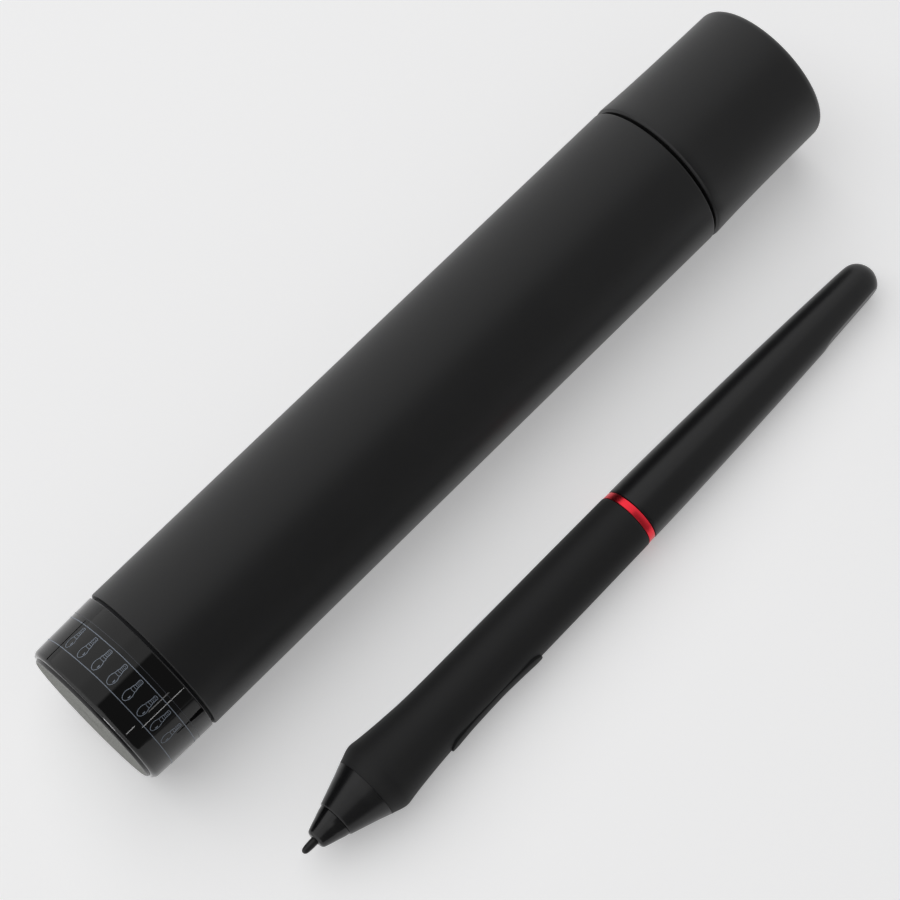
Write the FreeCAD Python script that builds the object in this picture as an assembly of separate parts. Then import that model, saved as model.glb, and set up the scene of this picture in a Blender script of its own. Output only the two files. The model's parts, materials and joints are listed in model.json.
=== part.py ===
import FreeCAD, Part
import math
import os

# A battery-free drawing-tablet pen lying beside its round storage case, in millimetres.
# Both lie on a table at Z = 0. The case lies along X with its pull-off cap at the +X end.
# The pen is on its -Y side, nib towards -X and side switch facing -Y. The origin is the
# centre of the underside of the set's box.
#
# Case pieces are built round the X axis, with x counted from the joint between the tube
# and the nib store. Pen pieces are built round the X axis too, with their stations (S0, S1)
# counted along it from the pen's tip. The last section moves both to the table.

Vector = FreeCAD.Vector
AXIS_POINT = Vector(0, 0, 0)
ALONG_X = Vector(1, 0, 0)
ALONG_Y = Vector(0, 1, 0)
ALONG_Z = Vector(0, 0, 1)

FIT = 0.02                # gap between seated or bonded pieces
OVERRUN = 1.0             # how far a cutting tool runs past the face it opens


# ------------------------------------------------------------------- helpers
def spline(points):
    curve = Part.BSplineCurve()
    curve.interpolate([Vector(x, r, 0) for x, r in points])
    return curve.toShape()


def lines(*points):
    """Straight edges joining the (x, r) points in turn."""
    return [
        Part.LineSegment(Vector(*start, 0), Vector(*end, 0)).toShape()
        for start, end in zip(points, points[1:])
    ]


def arc(start, middle, end):
    return Part.Arc(Vector(*start, 0), Vector(*middle, 0), Vector(*end, 0)).toShape()


def corner(before, point, after, radius):
    """Start, middle and end of a round at the corner point between its two neighbours."""
    tip = Vector(*point, 0)
    to_before = Vector(*before, 0) - tip
    to_after = Vector(*after, 0) - tip
    to_before.normalize()
    to_after.normalize()
    half_angle = math.acos(max(-1, min(1, to_before.dot(to_after)))) / 2
    setback = radius / math.tan(half_angle)
    bisector = to_before + to_after
    bisector.normalize()
    centre = tip + bisector * (radius / math.sin(half_angle))
    marks = (tip + to_before * setback, centre - bisector * radius, tip + to_after * setback)
    return [(mark.x, mark.y) for mark in marks]


def turned(edges):
    """The solid that a closed profile in the x, r half-plane makes about the X axis."""
    wire = Part.Wire(Part.__sortEdges__(list(edges)))
    return Part.Face(wire).revolve(AXIS_POINT, ALONG_X, 360)


def poly_turned(points, rounds=None):
    """Turned solid of a closed (x, r) polygon; rounds maps a point's index to its radius."""
    rounds = rounds or {}
    count = len(points)
    marks = []
    for i, point in enumerate(points):
        if i in rounds:
            marks.append(corner(points[i - 1], point, points[(i + 1) % count], rounds[i]))
        else:
            marks.append((point, None, point))
    edges = []
    for i, (start, middle, end) in enumerate(marks):
        if middle is not None:
            edges.append(arc(start, middle, end))
        following = marks[(i + 1) % count][0]
        if math.dist(following, end) > 1e-7:
            edges += lines(end, following)
    return turned(edges)


def under(edges, start, end):
    """Solid under an outer profile that runs from start to end, filled to the axis."""
    sides = lines((start[0], 0), (end[0], 0))
    for x, r in (start, end):
        if r > 0:
            sides += lines((x, 0), (x, r))
    return turned(edges + sides)


def rod(x0, x1, radius, y=0.0, z=0.0):
    return Part.makeCylinder(radius, x1 - x0, Vector(x0, y, z), ALONG_X)


def post(x, y0, y1, radius):
    return Part.makeCylinder(radius, y1 - y0, Vector(x, y0, 0), ALONG_Y)


def tube(x0, x1, r_out, r_in):
    return rod(x0, x1, r_out).cut(rod(x0 - OVERRUN, x1 + OVERRUN, r_in))


def box(x0, x1, y0, y1, z0, z1):
    return Part.makeBox(x1 - x0, y1 - y0, z1 - z0, Vector(x0, y0, z0))


# ------------------------------------------------------- O-rings and grooves
GROOVE_W = 1.1
ORING_WIRE_R = 0.475
ORING_GAP = 0.01


def groove(x, surface_r, floor_r):
    """Profile points of a square O-ring groove centred on x."""
    x0, x1 = x - GROOVE_W / 2, x + GROOVE_W / 2
    return [(x0, surface_r), (x0, floor_r), (x1, floor_r), (x1, surface_r)]


def o_ring(x, floor_r):
    ring_r = floor_r + ORING_GAP + ORING_WIRE_R
    return Part.makeTorus(ring_r, ORING_WIRE_R, Vector(x, 0, 0), ALONG_X)


# ----------------------------------------------------------------- case tube
TUBE_X0, TUBE_X1 = 0.2, 139.5
TUBE_R = 16.88
TUBE_R_IN = TUBE_R - 1.0
TUBE_EDGE_ROUND = 0.3
LINER_X0, LINER_X1 = 7.6, 130.8
LINER_R_IN = 14.86
LINER_EDGE_ROUND = 0.3    # on the liners of both tube and cap

# neck that the cap slides over
NECK_X0, NECK_X1 = 130.9, 150.5
NECK_R = 14.55
NECK_R_IN = 12.8
NECK_GROOVE_X = 144.95
NECK_GROOVE_R = 13.59


def case_tube():
    return poly_turned(
        [(TUBE_X0, TUBE_R_IN), (TUBE_X0, TUBE_R), (TUBE_X1, TUBE_R), (TUBE_X1, TUBE_R_IN)],
        {1: TUBE_EDGE_ROUND, 2: TUBE_EDGE_ROUND},
    )


def liner(x0, x1, r_out, r_in):
    """A sleeve with its inner edge rounded at x0."""
    return poly_turned([(x0, r_in), (x0, r_out), (x1, r_out), (x1, r_in)], {0: LINER_EDGE_ROUND})


def tube_liner():
    return liner(LINER_X0, LINER_X1, TUBE_R_IN - FIT, LINER_R_IN)


def neck_collar():
    """Bonded in the tube's mouth; its thinner part stands out of it."""
    return poly_turned(
        [
            (NECK_X0, NECK_R_IN),
            (NECK_X0, TUBE_R_IN - FIT),
            (TUBE_X1, TUBE_R_IN - FIT),
            (TUBE_X1, NECK_R),
            *groove(NECK_GROOVE_X, NECK_R, NECK_GROOVE_R),
            (NECK_X1, NECK_R),
            (NECK_X1, NECK_R_IN),
        ],
        {8: 0.6, 9: 0.5},
    )


def neck_o_ring():
    return o_ring(NECK_GROOVE_X, NECK_GROOVE_R)


# ----------------------------------------------------------------------- cap
CAP_X0, CAP_X1 = 140.3, 172.7
CAP_BEAD_R = 16.98
CAP_LIP_R = 16.45
CAP_END_R = 16.38
CAP_END_ROUND = 1.7
CAP_R_IN = 15.4
CAP_INNER_CHAMFER = 0.6
CAP_FLOOR_X = CAP_X1 - 1.3
CAP_LINER_R_IN = 14.60
PAD_X0 = CAP_FLOOR_X - 0.9
PAD_R = CAP_LINER_R_IN - 0.05

# x, r from the bead at the mouth to the round at the closed end
CAP_BODY = [
    (CAP_X0 + 0.85, CAP_BEAD_R), (142.4, 16.93), (143.6, 16.87), (145.0, 16.80), (149.0, 16.68),
    (153.0, 16.58), (157.0, 16.52), (161.0, 16.47), (165.0, 16.43),
    (CAP_X1 - CAP_END_ROUND, CAP_END_R),
]


def cap_shell():
    """A beaded, chamfered mouth, and a body drawing in to a flat end with a round edge."""
    round_x, round_r = CAP_X1 - CAP_END_ROUND, CAP_END_R - CAP_END_ROUND
    reach = CAP_END_ROUND * math.sin(math.pi / 4)
    mouth = ((CAP_X0, CAP_R_IN), (CAP_X0, CAP_LIP_R), (CAP_X0 + 0.45, CAP_BEAD_R - 0.06))
    return turned([
        *lines(*mouth, CAP_BODY[0]),
        spline(CAP_BODY),
        arc(CAP_BODY[-1], (round_x + reach, round_r + reach), (CAP_X1, round_r)),
        *lines(
            (CAP_X1, round_r),
            (CAP_X1, 0),
            (CAP_FLOOR_X, 0),
            (CAP_FLOOR_X, CAP_R_IN - CAP_INNER_CHAMFER),
            (CAP_FLOOR_X - CAP_INNER_CHAMFER, CAP_R_IN),
            (CAP_X0, CAP_R_IN),
        ),
    ])


def cap_liner():
    return liner(CAP_X0 + 0.9, PAD_X0, CAP_R_IN - FIT, CAP_LINER_R_IN)


def cap_pad():
    x0 = PAD_X0 + 0.01
    return poly_turned([(x0, 0), (x0, PAD_R), (CAP_FLOOR_X, PAD_R), (CAP_FLOOR_X, 0)])


# ---------------------------------------------------------------------- nibs
NIB_R = 0.85
NIB_LENGTH = 12.0
NIB_CHAMFER = 0.25

# x, r from the point to the straight body
NIB_POINT = [
    (0.0, 0.0), (0.06, 0.30), (0.22, 0.50), (0.55, 0.66), (1.0, 0.75), (1.6, 0.81),
    (2.2, 0.84), (2.7, NIB_R),
]


def make_nib():
    """A nib with its point at x = 0 and its body running along +X."""
    end = (NIB_LENGTH, NIB_R - NIB_CHAMFER)
    body = lines(NIB_POINT[-1], (NIB_LENGTH - NIB_CHAMFER, NIB_R), end)
    return under([spline(NIB_POINT)] + body, NIB_POINT[0], end)


# ----------------------------------------------------------------- nib store
# A clear ring round an opaque rack; the base disc closes its -X end and stands a little
# proud of it. The rack's spigot fits in the tube.
RING_X0, RING_X1 = -15.4, -0.42
RING_STEP_X = -14.38
RING_R_FAR = 16.42        # at the -X end
RING_R_NEAR = 16.74       # at the tube
RING_R_IN = 15.0
DISC_X0 = -16.0
DISC_X1 = DISC_X0 + 1.56
DISC_R = 15.18
RACK_R = 14.98
RACK_FACE_X = 1.2
RACK_RECESS_R = 14.0
SPIGOT_X0 = RING_X1 + 0.01
SPIGOT_X1 = 6.0
SPIGOT_R = 15.80
STORE_GROOVE_X = 3.15
STORE_GROOVE_R = 14.85
NIB_SLOTS = 8
NIB_SLOT_R = 0.90
NIB_CIRCLE_R = 12.2
NIB_PROUD = 2.2           # how far a stored nib's point stands out of the rack
PULLER_R = 3.2
PULLER_X0 = RACK_FACE_X - 1.0
PULLER_HOLE_R = 0.93
SHAFT_R = 1.2             # blind hole below the puller
SHAFT_DEPTH = 9.0

slot_angles = [math.radians(22.5 + 360.0 / NIB_SLOTS * i) for i in range(NIB_SLOTS)]
slot_centres = [
    (NIB_CIRCLE_R * math.cos(angle), NIB_CIRCLE_R * math.sin(angle)) for angle in slot_angles
]


def window_ring():
    seat_r = DISC_R + 0.05
    return poly_turned(
        [
            (RING_X0, seat_r),
            (RING_X0, RING_R_FAR),
            (-12.0, 16.52),
            (-7.0, 16.61),
            (RING_X1, RING_R_NEAR),
            (RING_X1, RING_R_IN),
            (RING_STEP_X, RING_R_IN),
            (RING_STEP_X, seat_r),
        ],
        {1: 1.1, 4: 0.3, 0: 0.12},
    )


def base_disc():
    return poly_turned([(DISC_X0, 0), (DISC_X0, DISC_R), (DISC_X1, DISC_R), (DISC_X1, 0)], {1: 0.45})


def nib_rack():
    rack = poly_turned(
        [
            (DISC_X1, 0),
            (DISC_X1, RACK_R),
            (SPIGOT_X0, RACK_R),
            (SPIGOT_X0, SPIGOT_R),
            *groove(STORE_GROOVE_X, SPIGOT_R, STORE_GROOVE_R),
            (SPIGOT_X1, SPIGOT_R),
            (SPIGOT_X1, RACK_RECESS_R),
            (RACK_FACE_X, RACK_RECESS_R),
            (RACK_FACE_X, 0),
        ],
        {8: 0.5},
    )
    slot_floor_x = RACK_FACE_X + NIB_PROUD - NIB_LENGTH - 0.15
    for y, z in slot_centres:
        rack = rack.cut(rod(slot_floor_x, RACK_FACE_X + OVERRUN, NIB_SLOT_R, y, z))
    rack = rack.cut(rod(PULLER_X0, RACK_FACE_X + OVERRUN, PULLER_R + FIT))
    return rack.cut(rod(PULLER_X0 - SHAFT_DEPTH, RACK_FACE_X, SHAFT_R))


def store_o_ring():
    return o_ring(STORE_GROOVE_X, STORE_GROOVE_R)


def nib_puller():
    """A ring set in the middle of the rack, with a slot on the +Y side of its hole."""
    tool_x0, tool_x1 = RACK_FACE_X - 3, RACK_FACE_X + OVERRUN
    puller = rod(PULLER_X0, RACK_FACE_X, PULLER_R).cut(rod(tool_x0, tool_x1, PULLER_HOLE_R))
    return puller.cut(box(tool_x0, tool_x1, 0.4, 2.4, -0.35, 0.35))


def spare_nib(y, z):
    nib = make_nib()
    nib.rotate(AXIS_POINT, ALONG_Z, 180)
    nib.translate(Vector(RACK_FACE_X + NIB_PROUD, y, z))
    return nib


# ------------------------------------------------------------------ pen nose
NIB_OUT = 0.5             # how far the fitted nib's point is ahead of station 0
NOSE_S0, NOSE_S1 = 2.75, 8.3
NOSE_SLEEVE_R = 3.0       # the part of the tip that fits in the cone
CONE_S0, CONE_S1 = 8.38, 16.56
CORE_NECK_R = 4.6

# station, r
NOSE_OUTLINE = [
    (NOSE_S0 + 0.65, 2.25), (4.0, 2.47), (4.5, 2.64), (5.0, 2.80), (6.0, 3.12), (7.0, 3.47),
    (7.6, 3.64), (NOSE_S1, 3.80),
]
CONE_OUTLINE = [
    (CONE_S0 + 0.12, 4.08), (9.0, 4.25), (10.0, 4.59), (11.0, 4.93), (12.0, 5.27), (13.0, 5.61),
    (14.0, 5.95), (15.0, 6.32), (16.0, 6.69), (CONE_S1, 6.89),
]


def pen_nib():
    nib = make_nib()
    nib.translate(Vector(-NIB_OUT, 0, 0))
    return nib


def nose_tip():
    rim = (NOSE_S0 + 0.02, 1.20)
    return turned([
        arc(rim, (NOSE_S0 + 0.15, 1.86), NOSE_OUTLINE[0]),
        spline(NOSE_OUTLINE),
        *lines(
            NOSE_OUTLINE[-1],
            (NOSE_S1, NOSE_SLEEVE_R),
            (11.0, NOSE_SLEEVE_R),
            (11.0, 1.9),
            (5.5, 1.9),
            (5.1, 0.98),
            (NOSE_S0 + 0.22, 0.98),
            rim,
        ),
    ])


def nose_cone():
    """Cone with three bores: for the tip's sleeve, a wider one, and for the core's neck."""
    start = (CONE_S0, 3.96)
    edges = lines(start, CONE_OUTLINE[0]) + [spline(CONE_OUTLINE)]
    cone = under(edges, start, CONE_OUTLINE[-1])
    cone = cone.cut(rod(CONE_S0 - OVERRUN, 11.25, NOSE_SLEEVE_R + FIT))
    cone = cone.cut(rod(11.2, 13.0, 3.6))
    return cone.cut(rod(12.9, CONE_S1 + OVERRUN, CORE_NECK_R + FIT))


# ---------------------------------------------------------------- pen barrel
PEN_LENGTH = 164.7
FLARE_S = 20.2
FLARE_R = 7.92
GRIP_S0, GRIP_S1 = 16.6, 90.2
RING_S0, RING_S1 = 90.36, 92.0
REAR_S0 = 92.16
CORE_S0, CORE_S1 = 13.1, 104.0
CORE_STEP_S = 28.4
CORE_R = 5.6
CORE_R_IN = 4.2
CORE_NECK_IN = 4.0
CORE_SEAT_R = 5.2         # under the red ring
CORE_SPIGOT_R = 4.8       # inside the rear barrel
ROCKER_S0, ROCKER_S1 = 33.3, 58.6
ROCKER_HALF_W = 2.3
ROCKER_GAP = 0.2
PIVOT_S = 46.2
PIVOT_Y = -4.3
PIN_R = 0.50
PIN_HALF_L = 2.8

# station, r
GRIP_OUTLINE = [
    (GRIP_S0 + 0.10, 6.95), (17.3, 7.13), (18.0, 7.39), (18.8, 7.66), (19.5, 7.85),
    (FLARE_S, FLARE_R), (20.9, 7.86), (22.0, 7.70), (24.0, 7.47), (26.0, 7.28), (28.0, 7.11),
    (30.0, 6.96), (32.0, 6.83), (34.0, 6.73), (37.0, 6.66), (40.0, 6.62), (46.0, 6.59),
    (52.0, 6.57), (58.0, 6.55), (64.0, 6.52), (70.0, 6.50), (76.0, 6.47), (82.0, 6.43),
    (88.0, 6.39), (GRIP_S1 - 0.12, 6.37),
]
REAR_OUTLINE = [
    (REAR_S0 + 0.12, 6.31), (94.0, 6.30), (97.0, 6.265), (100.0, 6.215), (104.0, 6.145),
    (108.0, 6.06), (112.0, 5.965), (116.0, 5.86), (120.0, 5.75), (124.0, 5.63), (128.0, 5.51),
    (132.0, 5.38), (136.0, 5.24), (140.0, 5.09), (144.0, 4.93), (148.0, 4.76), (152.0, 4.58),
    (156.0, 4.40), (159.0, 4.25), (160.6, 4.14), (161.4, 4.02), (162.0, 3.85), (162.5, 3.63),
    (163.0, 3.30), (163.5, 2.82), (164.0, 2.14), (164.4, 1.35), (164.62, 0.62),
    (PEN_LENGTH, 0.0),
]
# station, y of the tool that cuts the flat: a short lead-in, then a long slope to the tail
FLAT_OUTLINE = [(143.0, -5.16), (147.5, -4.42), (180.0, -2.73), (180.0, -12.0), (143.0, -12.0)]
FLAT_TOOL_HALF_W = 10


def slot_prism(s0, s1, half_w, y0, y1):
    """A round-ended slot seen from the switch side, running from y0 to y1."""
    middle = box(s0 + half_w, s1 - half_w, y0, y1, -half_w, half_w)
    ends = [post(station, y0, y1, half_w) for station in (s0 + half_w, s1 - half_w)]
    return middle.fuse(ends).removeSplitter()


def rocker_window():
    """Tool for the opening round the rocker in the grip and core."""
    return slot_prism(
        ROCKER_S0 - ROCKER_GAP, ROCKER_S1 + ROCKER_GAP, ROCKER_HALF_W + ROCKER_GAP, -9.0, -0.5
    )


def pivot_rod(radius, half_length):
    start = Vector(PIVOT_S, PIVOT_Y, -half_length)
    return Part.makeCylinder(radius, 2 * half_length, start, ALONG_Z)


def rubber_grip():
    start, end = (GRIP_S0, 6.86), (GRIP_S1, 6.25)
    edges = [
        *lines(start, GRIP_OUTLINE[0]),
        spline(GRIP_OUTLINE),
        *lines(GRIP_OUTLINE[-1], end),
    ]
    grip = under(edges, start, end)
    grip = grip.cut(rod(GRIP_S0 - OVERRUN, GRIP_S1 + OVERRUN, CORE_R + FIT))
    return grip.cut(rocker_window())


def barrel_core():
    core = poly_turned(
        [
            (CORE_S0, CORE_NECK_IN),
            (CORE_S0, CORE_NECK_R),
            (GRIP_S0 - FIT, CORE_NECK_R),
            (GRIP_S0 - FIT, CORE_R),
            (GRIP_S1 + FIT, CORE_R),
            (GRIP_S1 + FIT, CORE_SEAT_R),
            (RING_S1 + 0.06, CORE_SEAT_R),
            (RING_S1 + 0.06, CORE_SPIGOT_R),
            (CORE_S1, CORE_SPIGOT_R),
            (CORE_S1, CORE_R_IN),
            (CORE_STEP_S, CORE_R_IN),
            (CORE_STEP_S, CORE_NECK_IN),
        ],
        {8: 0.4},
    )
    return core.cut(rocker_window()).cut(pivot_rod(PIN_R + 0.01, PIN_HALF_L + FIT))


def red_ring():
    r_in = CORE_SEAT_R + FIT
    return poly_turned(
        [(RING_S0, r_in), (RING_S0, 6.30), (RING_S1, 6.28), (RING_S1, r_in)], {1: 0.1, 2: 0.1}
    )


def rear_barrel():
    """Hollow tail piece with a shallow flat on the switch side."""
    start = (REAR_S0, 6.20)
    edges = lines(start, REAR_OUTLINE[0]) + [spline(REAR_OUTLINE)]
    rear = under(edges, start, REAR_OUTLINE[-1])
    rear = rear.cut(rod(REAR_S0 - OVERRUN, 104.3, CORE_SPIGOT_R + FIT))
    rear = rear.cut(Part.makeCone(4.3, 2.7, 150.0 - 104.2, Vector(104.2, 0, 0), ALONG_X))
    corners = [Vector(x, y, -FLAT_TOOL_HALF_W) for x, y in FLAT_OUTLINE]
    face = Part.Face(Part.makePolygon(corners + corners[:1]))
    return rear.cut(face.extrude(Vector(0, 0, 2 * FLAT_TOOL_HALF_W)))


# ------------------------------------------------- rocker switch on the side
SWITCH_S = (37.4, 55.0)
ROCKER_UNDER_Y = -5.3     # where the block and posts below the key start

# station, r of the key's top
ROCKER_OUTLINE = [
    (ROCKER_S0, 6.80), (33.5, 7.02), (34.0, 7.15), (36.0, 7.07), (38.0, 6.93), (40.0, 6.83),
    (42.0, 6.77), (44.0, 6.72), (46.0, 6.68), (48.0, 6.66), (50.0, 6.70), (52.0, 6.77),
    (54.0, 6.85), (56.0, 6.95), (57.5, 7.01), (58.3, 6.98), (ROCKER_S1, 6.80),
]


def side_rocker():
    """The key, a block over the pivot pin and a post under each half for its switch."""
    top = under([spline(ROCKER_OUTLINE)], ROCKER_OUTLINE[0], ROCKER_OUTLINE[-1])
    rocker = top.common(slot_prism(ROCKER_S0, ROCKER_S1, ROCKER_HALF_W, -8.5, -5.15))
    rocker = rocker.fuse(
        box(PIVOT_S - 1.3, PIVOT_S + 1.3, ROCKER_UNDER_Y, PIVOT_Y + 1.05, -2.0, 2.0)
    )
    for station in SWITCH_S:
        rocker = rocker.fuse(post(station, ROCKER_UNDER_Y, -3.1, 0.9))
    return rocker.removeSplitter().cut(pivot_rod(PIN_R + 0.05, 4))


def rocker_pin():
    return pivot_rod(PIN_R, PIN_HALF_L)


# ------------------------------------------------------ pressure mechanism
PLUNGER_S0, PLUNGER_S1 = 7.6, 26.6
PLUNGER_R = 1.6
PLUNGER_END_R = 1.2
FLANGE_S0, FLANGE_S1 = 24.6, 25.2
FERRITE_R = 2.7
FERRITE_R_IN = 1.75
BOBBIN_S0, BOBBIN_S1 = 12.6, 23.6
BOBBIN_R = 2.98
BOBBIN_R_IN = FERRITE_R + FIT
BOBBIN_FLANGE_R = 3.95
BOBBIN_FLANGE_T = 0.5
WINDING_S0, WINDING_S1 = 13.75, 23.06
WINDING_R_IN = 3.0
WINDING_R = 3.62          # between ribs
WINDING_RIB_R = 3.78
WINDING_RIBS = 30
WINDING_PITCH = 0.31
SPRING_S0 = 25.9
SPRING_LENGTH = 3.0
SPRING_R = 1.95
SPRING_WIRE_R = 0.2
SPRING_PITCH = 0.85
SENSOR_S0, SENSOR_S1 = 29.2, 32.4
SENSOR_R = 3.15


def nib_plunger():
    plunger = poly_turned(
        [
            (PLUNGER_S0, 0),
            (PLUNGER_S0, PLUNGER_R),
            (FLANGE_S0, PLUNGER_R),
            (FLANGE_S0, 2.6),
            (FLANGE_S1, 2.6),
            (FLANGE_S1, PLUNGER_END_R),
            (PLUNGER_S1, PLUNGER_END_R),
            (PLUNGER_S1, 0),
        ],
        {1: 0.3},
    )
    socket_end = NIB_LENGTH - NIB_OUT + 0.1
    return plunger.cut(rod(PLUNGER_S0 - OVERRUN, socket_end, NIB_R + 0.03))


def ferrite_core():
    return poly_turned(
        [(12.0, FERRITE_R_IN), (12.0, FERRITE_R), (24.0, FERRITE_R), (24.0, FERRITE_R_IN)],
        {1: 0.2, 2: 0.2},
    )


def coil_bobbin():
    flanges = [
        tube(station, station + BOBBIN_FLANGE_T, BOBBIN_FLANGE_R, BOBBIN_R_IN)
        for station in (13.2, BOBBIN_S1 - BOBBIN_FLANGE_T)
    ]
    return tube(BOBBIN_S0, BOBBIN_S1, BOBBIN_R, BOBBIN_R_IN).fuse(flanges).removeSplitter()


def coil_winding():
    """A sleeve with pointed ribs."""
    points = [(WINDING_S0, WINDING_R_IN), (WINDING_S0, WINDING_R)]
    for i in range(WINDING_RIBS):
        x = WINDING_S0 + i * WINDING_PITCH
        points += [(x + WINDING_PITCH / 2, WINDING_RIB_R), (x + WINDING_PITCH, WINDING_R)]
    points += [(WINDING_S1, WINDING_R), (WINDING_S1, WINDING_R_IN)]
    return poly_turned(points)


def return_spring():
    """A helical spring behind the plunger's flange, its wire eight-sided."""
    helix = Part.makeHelix(SPRING_PITCH, SPRING_LENGTH, SPRING_R)
    angles = [math.pi * (2 * i + 1) / 8 for i in range(8)]
    corners = [
        Vector(SPRING_R + SPRING_WIRE_R * math.cos(angle), 0, SPRING_WIRE_R * math.sin(angle))
        for angle in angles
    ]
    section = Part.makePolygon(corners + corners[:1])
    coil = Part.Wire(helix).makePipeShell([section], True, True)
    coil.rotate(AXIS_POINT, ALONG_Y, 90)
    coil.translate(Vector(SPRING_S0, 0, 0))
    return coil


def pressure_sensor():
    return poly_turned(
        [(SENSOR_S0, 0), (SENSOR_S0, SENSOR_R), (SENSOR_S1, SENSOR_R), (SENSOR_S1, 0)],
        {1: 0.2, 2: 0.2},
    )


# --------------------------------------------------------- board and carrier
CARRIER_S0, CARRIER_S1 = 33.2, 98.0
CARRIER_R = 4.15
BOARD_S0, BOARD_S1 = 33.42, 84.0
BOARD_HALF_W = 3.65
BOARD_HALF_T = 0.4
CARRIER_Y = BOARD_HALF_T + FIT

# station, y and z ranges; all but the last are on the switch side of the board
COMPONENTS = [
    (63.0, 68.0, -1.35, -BOARD_HALF_T, -2.5, 2.5),
    (71.5, 73.5, -1.1, -BOARD_HALF_T, -2.2, -0.9),
    (71.5, 73.5, -1.1, -BOARD_HALF_T, 0.6, 1.9),
    (76.0, 79.2, -1.3, -BOARD_HALF_T, -1.3, 1.3),
    (43.0, 44.6, -1.0, -BOARD_HALF_T, -2.9, -2.1),
    (48.0, 49.6, -1.0, -BOARD_HALF_T, 2.1, 2.9),
    (60.0, 62.0, BOARD_HALF_T, 1.3, -1.5, 1.5),
]


def board_carrier():
    """Half-round trough on the board's +Y side, with a cup that holds the sensor."""
    carrier = rod(CARRIER_S0, CARRIER_S1, CARRIER_R).cut(rod(30, 99, 3.25))
    carrier = carrier.cut(box(30, 99, -6, CARRIER_Y, -6, 6))
    cup = tube(28.8, 33.4, CARRIER_R, SENSOR_R + FIT)
    # notches in line with the coil leads
    for z0, z1 in ((-3.75, -3.1), (3.1, 3.75)):
        cup = cup.cut(box(28, 34, -0.45, 0.45, z0, z1))
    rib = box(97.0, CARRIER_S1, CARRIER_Y, 3.9, -3.3, 3.3).common(rod(96.5, 98.5, 4.1))
    carrier = carrier.fuse([cup, rib]).removeSplitter()
    return carrier.cut(box(CARRIER_S0 - 0.01, 99, -6, CARRIER_Y, -6, 6))


def circuit_board():
    return box(BOARD_S0, BOARD_S1, -BOARD_HALF_T, BOARD_HALF_T, -BOARD_HALF_W, BOARD_HALF_W)


def switch(station):
    body = box(station - 1.8, station + 1.8, -1.75, -BOARD_HALF_T, -1.6, 1.6)
    return body.fuse(post(station, -2.75, -1.65, 0.75)).removeSplitter()


def board_components():
    return Part.makeCompound([box(*extents) for extents in COMPONENTS])


def coil_leads():
    """One lead on each side, from the bobbin to the board's edge nearest the nib."""
    return Part.makeCompound(
        [rod(BOBBIN_S1 + FIT, BOARD_S0 - FIT, 0.16, 0.0, z) for z in (-3.45, 3.45)]
    )


# ------------------------------------------------------- placing and writing
ORIGIN_X, ORIGIN_Y = 78.35, -17.887   # the set's origin, from the case's x = 0 and axis
CASE_Z = CAP_BEAD_R                   # the case rests on the cap's bead
PEN_TIP_X, PEN_TIP_Y = -4.71, -45.12
PEN_HEADING = 0.811                   # degrees from the case's axis
REST_S = 105.0                        # the barrel station that touches the table
REST_R = 6.135


def build(makers):
    """Pieces by name; each maker function has its piece's name."""
    return {maker.__name__: maker() for maker in makers}


def write(pieces, placement):
    for name, shape in pieces.items():
        shape.transformShape(placement.toMatrix(), True, False)
        shape.exportStep("parts/%s.step" % name)


case = build([
    case_tube, tube_liner, neck_collar, neck_o_ring, cap_shell, cap_liner, cap_pad,
    window_ring, base_disc, nib_rack, store_o_ring, nib_puller,
])
for i, (y, z) in enumerate(slot_centres):
    case["spare_nib_%d" % (i + 1)] = spare_nib(y, z)

pen = build([
    pen_nib, nose_tip, nose_cone, rubber_grip, barrel_core, red_ring, rear_barrel,
    side_rocker, rocker_pin, nib_plunger, ferrite_core, coil_bobbin, coil_winding,
    return_spring, pressure_sensor, board_carrier, circuit_board, board_components, coil_leads,
])
pen["switch_front"], pen["switch_rear"] = [switch(station) for station in SWITCH_S]

# The pen rests on the flare of its grip and on its barrel, so its tail is low.
slope = (FLARE_R - REST_R) / (REST_S - FLARE_S)
tilt = math.atan(slope)
tip_z = (FLARE_R + slope * FLARE_S) * math.cos(tilt)
heading = FreeCAD.Rotation(ALONG_Z, PEN_HEADING)
pen_turn = heading.multiply(FreeCAD.Rotation(ALONG_Y, math.degrees(tilt)))
pen_tip = Vector(PEN_TIP_X - ORIGIN_X, PEN_TIP_Y - ORIGIN_Y, tip_z)

os.makedirs("parts", exist_ok=True)
write(case, FreeCAD.Placement(Vector(-ORIGIN_X, -ORIGIN_Y, CASE_Z), FreeCAD.Rotation()))
write(pen, FreeCAD.Placement(pen_tip, pen_turn))
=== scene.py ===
import bpy
import bmesh
import json
import math
import numpy as np
from mathutils import Matrix, Vector


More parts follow.
